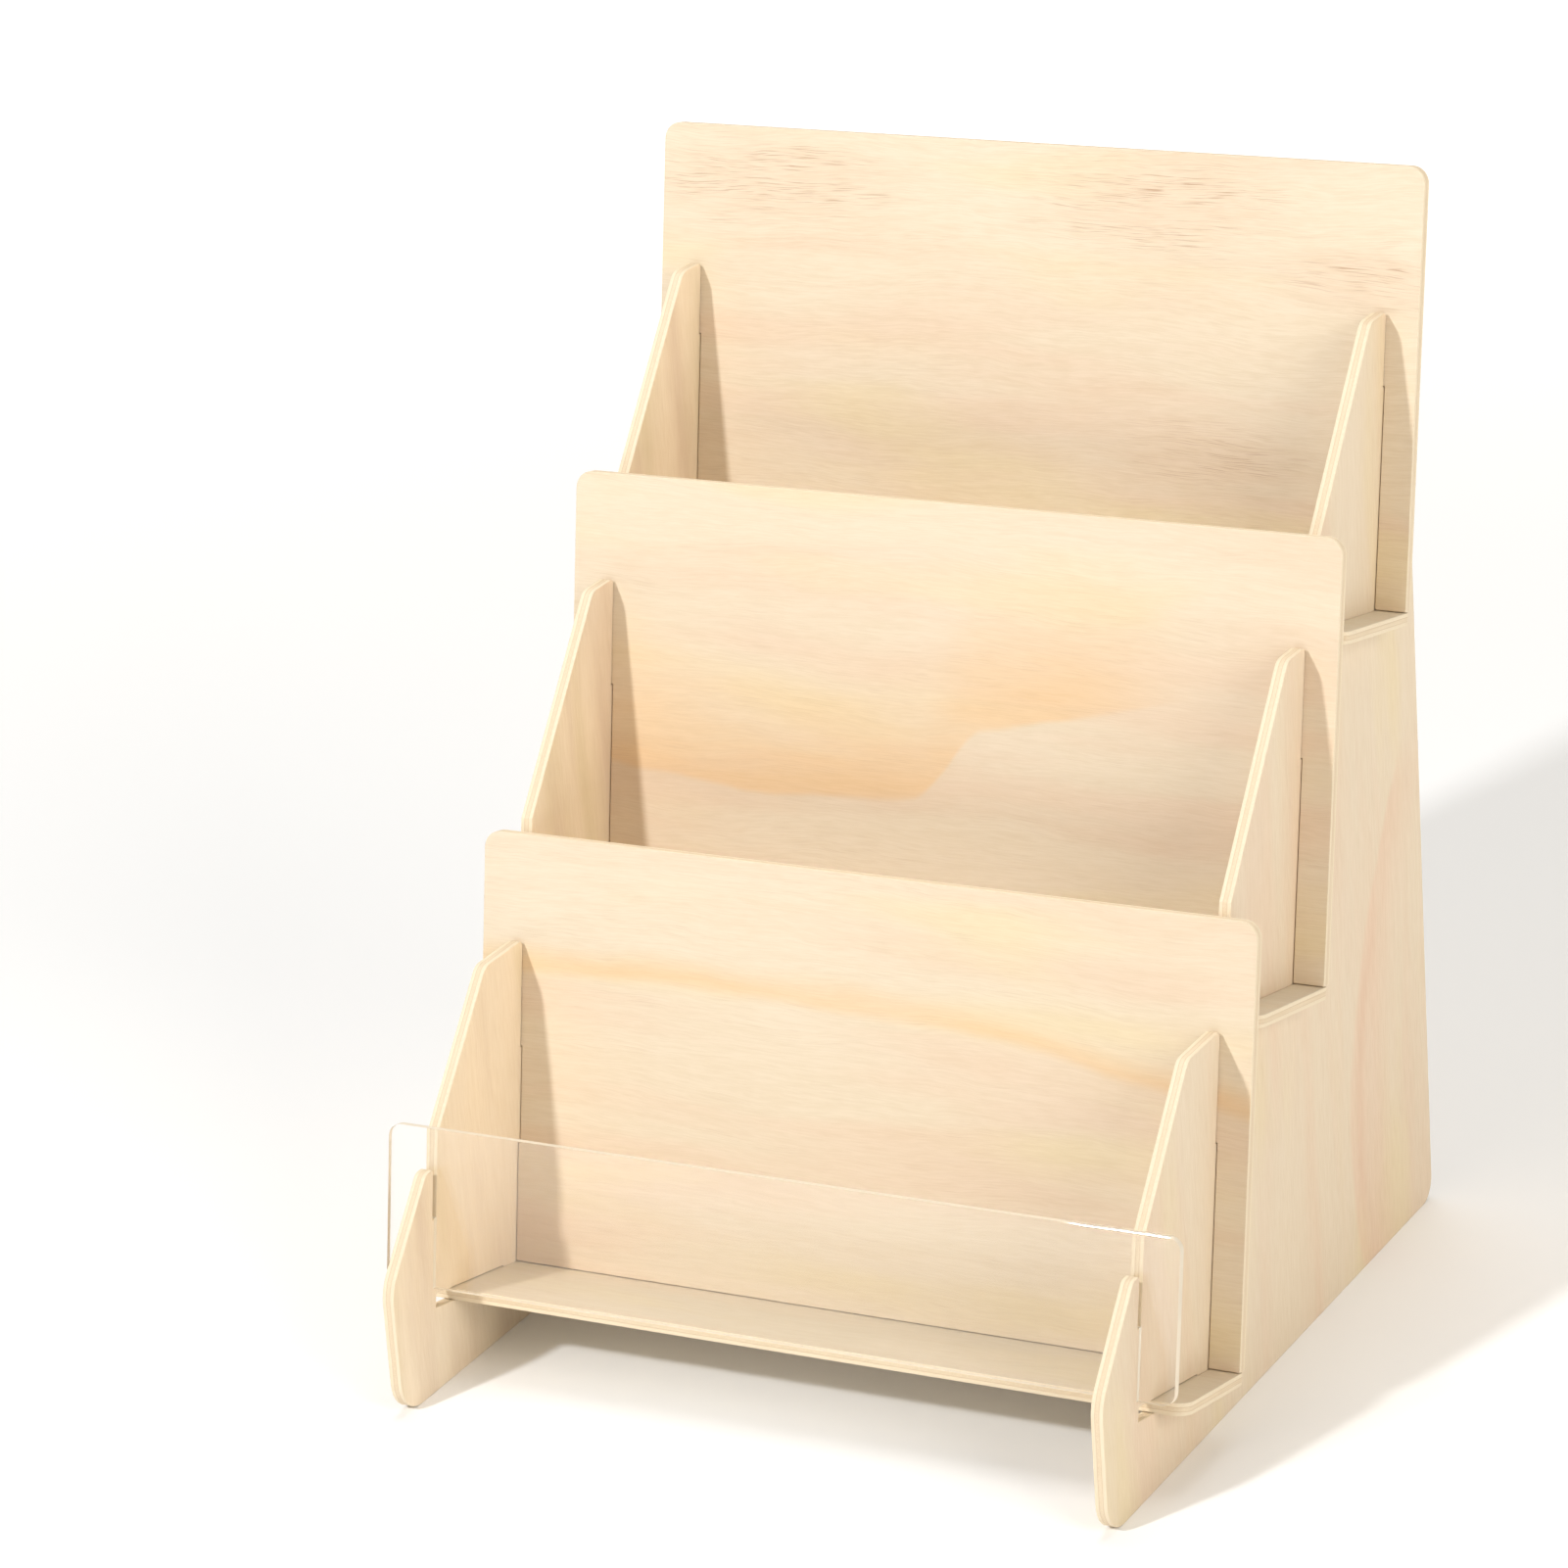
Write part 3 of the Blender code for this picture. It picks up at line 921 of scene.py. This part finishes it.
@dataclass
class Sheet:
    """One flat piece of the rack, sawn from a board or a clear sheet.

    Attributes:
        node: Its CAD node.
        grain: Its axes.
        seed: Sets its figure apart.
        faces: Finish of its two faces.
        edges: Finish of its cut edges.
        plies: How many plies it is laid up from.
        arris: How far its sharp edges are taken off, in metres.
        body: The CAD body it rides on.
        slot: The record's finish that it takes; not used.
        weld: Points nearer than this become one, in metres.
        level: How squarely a face looks along w, as a cosine, to count as one of the flat faces.
        needless: Edges that bend less than this are left out of the outline, in radians.
        corner: Edges that bend more than this are taken off, in radians.
        crease: Edges that bend more than this stay sharp to the eye, in radians.
    """

    node: str
    grain: Grain
    seed: float
    faces: Finish
    edges: Finish
    plies: int
    arris: float
    body: str
    slot: str
    weld: float = 0.01 * MM
    level: float = 0.999
    needless: float = radians(1.0)
    corner: float = radians(50.0)
    crease: float = radians(20.0)

    def through(self) -> Vector:
        """The sheet's w direction in the rack's axes."""
        return self.grain.through()

    def span(self) -> tuple[float, float]:
        """Lowest and highest height of the CAD node along the sheet's w direction."""
        heights = [self.through().dot(v.co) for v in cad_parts[self.node].data.vertices]
        return min(heights), max(heights)

    def middle(self) -> Vector:
        """The middle of the CAD node, half way along each of the sheet's own axes.

        Returns:
            The middle in the rack's axes, in metres.
        """
        turn = self.grain.turn()
        placed = [turn @ v.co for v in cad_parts[self.node].data.vertices]
        low = Vector([min(p[axis] for p in placed) for axis in range(3)])
        high = Vector([max(p[axis] for p in placed) for axis in range(3)])
        return turn.transposed() @ ((low + high) / 2)

    def outline(self) -> bpy.types.Mesh:
        """The sheet's lower face, taken from its CAD node and cleared of needless edges.

        Returns:
            A flat mesh whose faces look down the w direction.
        """
        through = self.through()
        sketch = bmesh.new()
        sketch.from_mesh(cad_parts[self.node].data)
        bmesh.ops.remove_doubles(sketch, verts=sketch.verts, dist=self.weld)
        sketch.normal_update()
        others = [face for face in sketch.faces if face.normal.dot(through) > -self.level]
        bmesh.ops.delete(sketch, geom=others, context="FACES")
        bmesh.ops.dissolve_limit(sketch, angle_limit=self.needless, verts=sketch.verts,
                                 edges=sketch.edges)
        mesh = bpy.data.meshes.new(self.node + "_outline")
        sketch.to_mesh(mesh)
        sketch.free()
        return mesh

    def build(self, lay_up: LayUp) -> bpy.types.Object:
        """Lay the sheet up, take its arrises off and put it in the rack.

        Args:
            lay_up: The tree that lays it up.

        Returns:
            The finished piece.
        """
        low, high = self.span()
        board = BoardPlace(self.grain, self.middle(), self.seed)
        face = dressed(self.node + "_face", self.faces, board)
        edge = face if self.edges is self.faces else dressed(self.node + "_edge", self.edges, board)
        blank = bpy.data.objects.new(self.node + "_blank", self.outline())
        bpy.context.scene.collection.objects.link(blank)
        tree = blank.modifiers.new("lay_up", "NODES")
        tree.node_group = lay_up.tree
        values = {"Direction": self.through(), "Thickness": high - low, "Plies": self.plies,
                  "Groove": lay_up.groove, "Dip": lay_up.dip, "Face finish": face, "Edge finish": edge}
        for name, identifier in lay_up.sockets().items():
            if name in values:
                tree[identifier] = values[name]
        soften = blank.modifiers.new("arris", "BEVEL")
        soften.width = self.arris
        soften.segments = 2
        soften.limit_method = "ANGLE"
        soften.angle_limit = self.corner
        graph = bpy.context.evaluated_depsgraph_get()
        mesh = bpy.data.meshes.new_from_object(blank.evaluated_get(graph), depsgraph=graph,
                                               preserve_all_data_layers=True)
        bpy.data.objects.remove(blank)
        mesh.name = self.node + "_sheet"
        self.shade(mesh)
        piece = bpy.data.objects.new(self.node + "_sheet", mesh)
        bpy.context.scene.collection.objects.link(piece)
        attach(piece, self.body)
        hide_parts(self.node)
        LOG.info("%s: %d faces, %.1f mm thick", piece.name, len(mesh.polygons), (high - low) / MM)
        return piece

    def shade(self, mesh: bpy.types.Mesh) -> None:
        """Shade the two faces flat and the rounded walls smooth.

        Args:
            mesh: The finished sheet. The layers that came with its outline are dropped.
        """
        for name in ("flat", "custom_normal"):
            if name in mesh.attributes:
                mesh.attributes.remove(mesh.attributes[name])
        through = self.through()
        on_wall = [abs(polygon.normal.dot(through)) < self.level for polygon in mesh.polygons]
        mesh.set_sharp_from_angle(angle=self.crease)
        mesh.polygons.foreach_set("use_smooth", on_wall)


def plywood(node: str, grain: Grain, seed: float, veneer: FaceVeneer, slot: str) -> Sheet:
    """A plywood board of the rack.

    Args:
        node: Its CAD node.
        grain: Its axes.
        seed: Sets its figure apart.
        veneer: Its face.
        slot: The record's finish that it takes.

    Returns:
        The board.
    """
    return Sheet(node, grain, seed, veneer, SawnEdge(), PLIES, BOARD_ARRIS, "rack", slot)


@dataclass
class SidePanels:
    """The two stepped side panels, with their grain upright.

    Attributes:
        left: Face of the left panel, paler than the right one to stand in for the stronger light on its
            inner faces: painted light.
        right: Face of the right panel, a little paler than the backs to make up for the weaker light on
            its outer face: painted light.
    """

    # Painted light: the left veneer is paler than the right one to stand in for the brighter light on
    # its inner faces.
    left: FaceVeneer = FaceVeneer(cream=(0.900, 0.755, 0.565), fibre=0.032, pores=0.06, wander=9.0)
    # Painted light: this veneer is a little paler than the backs' to make up for the weaker light on the
    # outer face.
    right: FaceVeneer = FaceVeneer(
        cream=(0.800, 0.672, 0.506), rose=(0.795, 0.630, 0.466), straw=(0.805, 0.670, 0.447),
        fibre=0.032, pores=0.07, wander=9.0,
        growth=(Growth(122.0, 0.83, 2.5, 45.0, 0.45, (0.80, 0.540, 0.385), curve=0.0036,
                       start=-190.0, end=20.0, side=-1.0),
                Growth(128.0, 0.83, 4.0, 9.0, 0.32, (0.72, 0.44, 0.29), curve=0.0036,
                       start=-160.0, end=-30.0, side=-1.0)))

    def build(self, lay_up: LayUp) -> None:
        """Make both panels."""
        for side, seed, veneer in (("left", 1.0, self.left), ("right", 2.0, self.right)):
            plywood("side_panel_" + side, Grain.SIDE, seed, veneer, "side_plywood").build(lay_up)


@dataclass
class Tier:
    """One pocket of the rack: a leaning back panel and the shelf it stands on.

    Attributes:
        name: Which pocket, as in the names of its CAD nodes.
        seed: Sets the figure of its boards apart.
        back: Face of the back panel.
        shelf: Face of the shelf, darker than the backs to offset the stronger light on its upper face:
            painted shade.
    """

    name: str
    seed: float
    back: FaceVeneer
    # Painted shade: the shelf veneer is darker than the backs' to offset the stronger light on its upper
    # face.
    shelf: FaceVeneer = FaceVeneer(cream=(0.690, 0.606, 0.472), rose=(0.690, 0.580, 0.440),
                                   straw=(0.700, 0.610, 0.430), fibre=0.032, pores=0.08)

    def build(self, lay_up: LayUp) -> None:
        """Make the tier's two boards."""
        back = plywood("back_panel_" + self.name, Grain.BACK, self.seed, self.back, "back_plywood")
        back.build(lay_up)
        shelf = plywood("shelf_" + self.name, Grain.SHELF, self.seed + 0.5, self.shelf, "shelf_plywood")
        shelf.build(lay_up)


@dataclass
class ClearLip:
    """The clear lip that stands in the slots behind the two feet.

    Attributes:
        acrylic: Its faces.
        cut: Its cut edges.
        arris: How far its sharp edges are taken off, in metres.
    """

    acrylic: ClearAcrylic = ClearAcrylic()
    cut: PolishedCut = PolishedCut()
    arris: float = 0.12 * MM

    def build(self, lay_up: LayUp) -> None:
        """Make the lip."""
        sheet = Sheet("front_lip", Grain.BACK, 9.0, self.acrylic, self.cut, plies=1,
                      arris=self.arris, body="lip", slot="clear_acrylic")
        sheet.build(lay_up)


@dataclass
class Rack:
    """The whole brochure rack.

    Attributes:
        sides: The side panels.
        lip: The clear lip.
        tiers: The three pockets, from the bottom.
    """

    sides: SidePanels = field(default_factory=SidePanels)
    lip: ClearLip = field(default_factory=ClearLip)
    tiers: tuple[Tier, ...] = (
        Tier("bottom", 3.0, FaceVeneer(
            fibre=0.032, pores=0.10,
            growth=(Growth(37.0, -0.055, 3.0, 13.0, 0.62, curve=-0.0004, start=-190.0, end=190.0),))),
        Tier("middle", 4.0, FaceVeneer(
            fibre=0.032, pores=0.10,
            growth=(Growth(-17.5, 0.13, 1.6, 60.0, 0.62, curve=0.0012, bend_at=3.0, bend_rise=24.0,
                           bend_run=26.0, wave=2.4, start=-170.0, end=100.0, fade=60.0),))),
        Tier("top", 5.0, FaceVeneer(
            fibre=0.040, pores=0.10,
            zones=(PoreZone((-105.0, 57.0), (76.0, 24.0), 0.76),
                   PoreZone((50.0, 58.0), (66.0, 26.0), 0.80),
                   PoreZone((125.0, 36.0), (44.0, 15.0), 0.68),
                   PoreZone((68.0, -27.0), (48.0, 18.0), 0.60)))),
    )

    def build(self) -> None:
        """Make every piece of the rack."""
        lay_up = LayUp()
        lay_up.build()
        self.sides.build(lay_up)
        for tier in self.tiers:
            tier.build(lay_up)
        self.lip.build(lay_up)


# ---- studio ---------------------------------------------------------------------------------


@dataclass(frozen=True)
class Camera:
    """The camera that looks down on the rack from its front right.

    Attributes:
        azimuth: Degrees to the right of straight ahead.
        elevation: Degrees above the level.
        roll: Degrees that the camera is turned about its own axis.
        distance: From the point it looks at, in metres.
        target: The point in the middle of its view.
        lens: Focal length in millimetres, on a sensor 36 mm wide.
    """

    azimuth: float = 28.4416
    elevation: float = 20.0480
    roll: float = -3.9709
    distance: float = 2.04057
    target: Triple = (-0.02913, -0.02445, 0.19911)
    lens: float = 138.97

    def build(self) -> None:
        """Make the camera and let the scene use it."""
        turn, tip, roll = radians(self.azimuth), radians(self.elevation), radians(self.roll)
        ahead = Vector((-sin(turn) * cos(tip), cos(turn) * cos(tip), -sin(tip)))
        level = Vector((cos(turn), sin(turn), 0.0))
        upright = level.cross(ahead)
        right = level * cos(roll) + upright * sin(roll)
        above = upright * cos(roll) - level * sin(roll)
        data = bpy.data.cameras.new("camera")
        data.lens = self.lens
        data.sensor_width = 36.0
        data.clip_start = 0.05
        data.clip_end = 40.0
        camera = bpy.data.objects.new("camera", data)
        bpy.context.scene.collection.objects.link(camera)
        turned = Matrix((right, above, -ahead)).transposed().to_4x4()
        camera.matrix_world = Matrix.Translation(Vector(self.target) - ahead * self.distance) @ turned
        bpy.context.scene.camera = camera


@dataclass(frozen=True)
class Lamp:
    """A soft box.

    Attributes:
        name: What it is for.
        place: Where it hangs, in metres.
        size: Its width, in metres.
        power: Its power in watts.
        colour: Its colour.
    """

    name: str
    place: Triple
    size: float
    power: float
    colour: Colour = (1.0, 1.0, 1.0)

    def build(self, target: Vector) -> None:
        """Hang the lamp and aim it.

        Args:
            target: Where it shines.
        """
        data = bpy.data.lights.new(self.name, "AREA")
        data.shape = "DISK"
        data.size = self.size
        data.energy = self.power
        data.color = self.colour
        lamp = bpy.data.objects.new(self.name, data)
        lamp.visible_camera = False
        bpy.context.scene.collection.objects.link(lamp)
        aim = (target - Vector(self.place)).to_track_quat("-Z", "Y").to_matrix().to_4x4()
        lamp.matrix_world = Matrix.Translation(self.place) @ aim


@dataclass(frozen=True)
class Studio:
    """A pale floor, an even white surround and soft lamps.

    Attributes:
        floor_size: Width of the floor, in metres.
        floor_tone: Its colour.
        fade: Where the floor begins and ends to brighten towards the white backdrop, in metres.
        far_glow: How much its far part glows, so that it meets the backdrop without a line.
        floor_roughness: Its roughness.
        surround: Brightness of the even surround.
        surround_tone: Its colour, which warms the shaded faces.
        aim: The point that the lamps shine at, in metres.
        lamps: The soft boxes.
    """

    floor_size: float = 14.0
    floor_tone: Colour = (0.97, 0.97, 0.97)
    fade: tuple[float, float] = (0.5, 3.2)
    far_glow: float = 0.85
    floor_roughness: float = 0.9
    surround: float = 0.31
    surround_tone: Colour = (1.0, 0.955, 0.880)
    aim: Triple = (0.0, 0.0, 0.18)
    lamps: tuple[Lamp, ...] = (
        Lamp("key", (-0.94, -2.30, 1.94), 0.20, 54.5, (0.975, 0.988, 1.0)),
        Lamp("fill", (3.10, -1.20, 1.90), 2.20, 58.0, (1.0, 0.965, 0.90)),
        Lamp("overhead", (-0.40, 1.60, 5.00), 4.00, 112.0),
    )

    def lay_floor(self) -> None:
        """Make the floor, which brightens towards the backdrop far from the rack."""
        sketch = bmesh.new()
        bmesh.ops.create_grid(sketch, x_segments=4, y_segments=4, size=self.floor_size / 2)
        mesh = bpy.data.meshes.new("floor")
        sketch.to_mesh(mesh)
        sketch.free()
        paint = bpy.data.materials.new("floor_paint")
        paint.use_nodes = True
        shader = paint.node_tree.nodes["Principled BSDF"]
        shader.inputs["Base Color"].default_value = (*self.floor_tone, 1.0)
        shader.inputs["Roughness"].default_value = self.floor_roughness
        chart = Chart(paint.node_tree)
        coords = chart.add("ShaderNodeTexCoord").outputs["Object"]
        radius = chart.add("ShaderNodeVectorMath", {0: coords}, operation="LENGTH").outputs["Value"]
        glow = chart.step(radius, *self.fade, 0.0, self.far_glow)
        chart.feed(shader.inputs["Emission Strength"], glow)
        mesh.materials.append(paint)
        floor = bpy.data.objects.new("floor", mesh)
        bpy.context.scene.collection.objects.link(floor)

    def hang_surround(self) -> None:
        """Light the rack evenly from all sides, and show plain white behind it."""
        world = bpy.data.worlds.new("surround")
        world.use_nodes = True
        sky = world.node_tree.nodes["Background"]
        sky.inputs["Color"].default_value = (*self.surround_tone, 1.0)
        sky.inputs["Strength"].default_value = self.surround
        chart = Chart(world.node_tree)
        white = {"Color": (1.0, 1.0, 1.0), "Strength": 1.0}
        backdrop = chart.add("ShaderNodeBackground", white).outputs[0]
        seen = chart.add("ShaderNodeLightPath").outputs["Is Camera Ray"]
        both = chart.add("ShaderNodeMixShader", {0: seen, 1: sky.outputs[0], 2: backdrop}).outputs[0]
        leave = next(node for node in world.node_tree.nodes if node.type == "OUTPUT_WORLD")
        chart.feed(leave.inputs["Surface"], both)
        bpy.context.scene.world = world

    def build(self) -> None:
        """Make the floor, the surround and the lamps."""
        self.lay_floor()
        self.hang_surround()
        for lamp in self.lamps:
            lamp.build(Vector(self.aim))
        bpy.context.scene.view_settings.view_transform = "Standard"


def main() -> None:
    """Build the rack, its studio and the camera."""
    logging.basicConfig(level=logging.INFO, format="%(name)s: %(message)s")
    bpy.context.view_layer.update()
    Rack().build()
    Studio().build()
    Camera().build()


if __name__ == "__main__":
    main()
